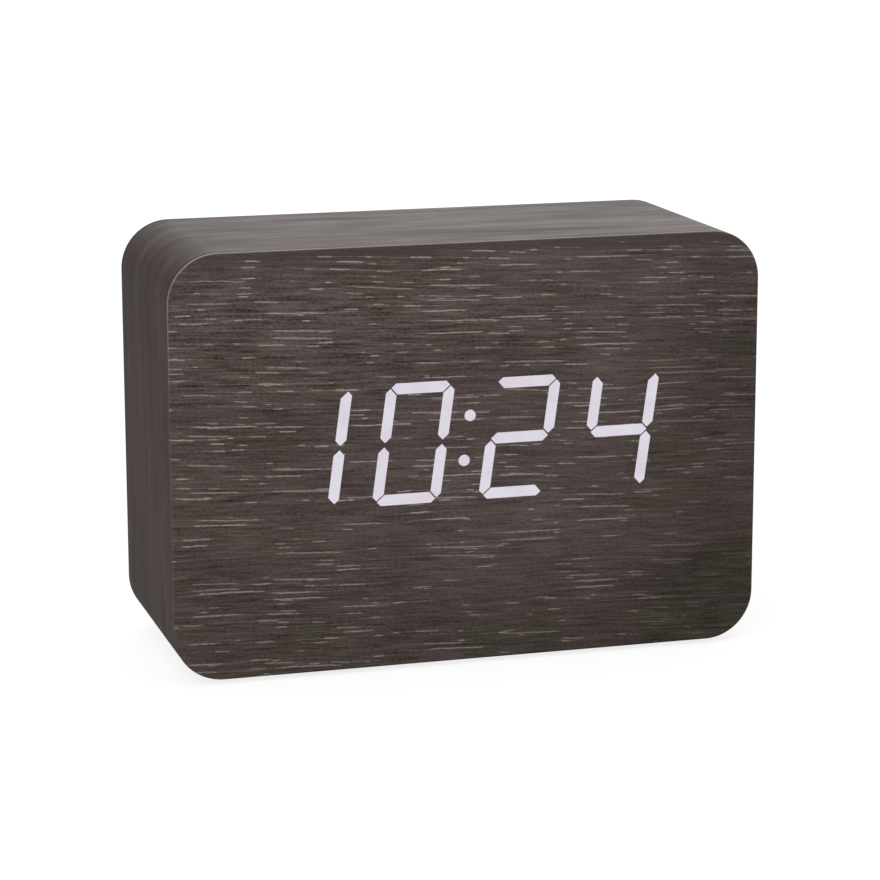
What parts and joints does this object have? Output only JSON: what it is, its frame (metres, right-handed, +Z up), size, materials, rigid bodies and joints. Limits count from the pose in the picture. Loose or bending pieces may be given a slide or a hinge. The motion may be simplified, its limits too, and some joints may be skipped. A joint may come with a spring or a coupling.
{
  "type": "radio-controlled alarm clock",
  "caption": "Block-shaped table alarm clock in dark wood-look film, with a white lit seven-segment display, and a back with keys, alarm switch, power socket and battery door.",
  "frame": {"origin": "under the middle of the case, on the surface that the feet stand on", "axes": "+X to the right as the display is read, +Y from the display to the back, +Z up"},
  "size_m": [0.1, 0.04, 0.0708],
  "materials": {
    "wood_film": "dark wood-look film, satin, with horizontal grain and fine pale flecks",
    "fibreboard": "raw fibreboard",
    "black_plastic": "fine spark texture",
    "key_plastic": "satin",
    "lit_lens": "milky diffuser, lit from behind",
    "white_plastic": "satin",
    "circuit_board": "green solder mask",
    "chip_black": "matt moulded",
    "steel": "zinc plated",
    "contact_metal": "nickel plated",
    "rubber": "matt",
    "cell_jacket": "plain dark shrink sleeve with bare metal ends",
    "ferrite": "sintered, matt",
    "copper_wire": "enamelled wire",
    "red_wire": "PVC insulation",
    "black_wire": "PVC insulation",
    "grey_ribbon": "ribbed PVC insulation"
  },
  "bodies": {
    "case": {"front_film": "wood_film", "wrap_film": "wood_film", "front_panel": "black_plastic", "case_sleeve": "fibreboard", "foot_front_left": "rubber", "foot_front_right": "rubber", "foot_back_left": "rubber", "foot_back_right": "rubber", "hour_tens_lens": "lit_lens", "hour_units_lens": "lit_lens", "minute_tens_lens": "lit_lens", "minute_units_lens": "lit_lens", "colon_lens": "lit_lens", "display_reflector": "white_plastic", "display_board": "circuit_board", "display_ribbon": "grey_ribbon", "back_plate": "black_plastic", "back_screw_top_left": "steel", "back_screw_top_right": "steel", "back_screw_bottom_left": "steel", "back_screw_bottom_right": "steel", "contact_negative": "contact_metal", "contact_link_right": "contact_metal", "contact_link_left": "contact_metal", "contact_positive": "contact_metal", "battery_1": "cell_jacket", "battery_2": "cell_jacket", "battery_3": "cell_jacket", "main_board": "circuit_board", "board_screw_upper": "steel", "board_screw_lower": "steel", "set_switch_case": "steel", "minus_switch_case": "steel", "plus_switch_case": "steel", "alarm_switch_case": "steel", "power_socket_shell": "steel", "power_socket_tongue": "chip_black", "buzzer": "chip_black", "microphone": "steel", "controller_chip": "chip_black", "led_driver_chip": "chip_black", "quartz_crystal": "steel", "supply_capacitor": "black_wire", "antenna_rod": "ferrite", "antenna_coil": "copper_wire", "antenna_clip_left": "white_plastic", "antenna_clip_right": "white_plastic", "receiver_board": "circuit_board", "antenna_lead": "copper_wire", "battery_lead_negative": "black_wire", "battery_lead_positive": "red_wire"},
    "door": {"battery_door": "black_plastic"},
    "latch": {"battery_door_latch": "black_plastic"},
    "set_key": {"set_button": "key_plastic", "set_switch_plunger": "chip_black"},
    "minus_key": {"minus_button": "key_plastic", "minus_switch_plunger": "chip_black"},
    "plus_key": {"plus_button": "key_plastic", "plus_switch_plunger": "chip_black"},
    "alarm_slider": {"alarm_switch_knob": "key_plastic"}
  },
  "joints": [
    {"name": "door_hinge", "type": "hinge", "parent": "case", "child": "door", "pos_m": [0.012, 0.0182, 0.0086], "axis": [-1, 0, 0], "range_deg": [0, 70]},
    {"name": "latch_flex", "type": "hinge", "parent": "door", "child": "latch", "pos_m": [0.012, 0.0135, 0.0444], "axis": [-1, 0, 0], "range_deg": [0, 6], "stiffness_Nm_per_rad": 0.02},
    {"name": "set_press", "type": "slide", "parent": "case", "child": "set_key", "axis": [0, -1, 0], "range_m": [0, 0.0005], "stiffness_N_per_m": 1500},
    {"name": "minus_press", "type": "slide", "parent": "case", "child": "minus_key", "axis": [0, -1, 0], "range_m": [0, 0.0005], "stiffness_N_per_m": 1500},
    {"name": "plus_press", "type": "slide", "parent": "case", "child": "plus_key", "axis": [0, -1, 0], "range_m": [0, 0.0005], "stiffness_N_per_m": 1500},
    {"name": "alarm_slide", "type": "slide", "parent": "case", "child": "alarm_slider", "axis": [1, 0, 0], "range_m": [0, 0.002]}
  ]
}
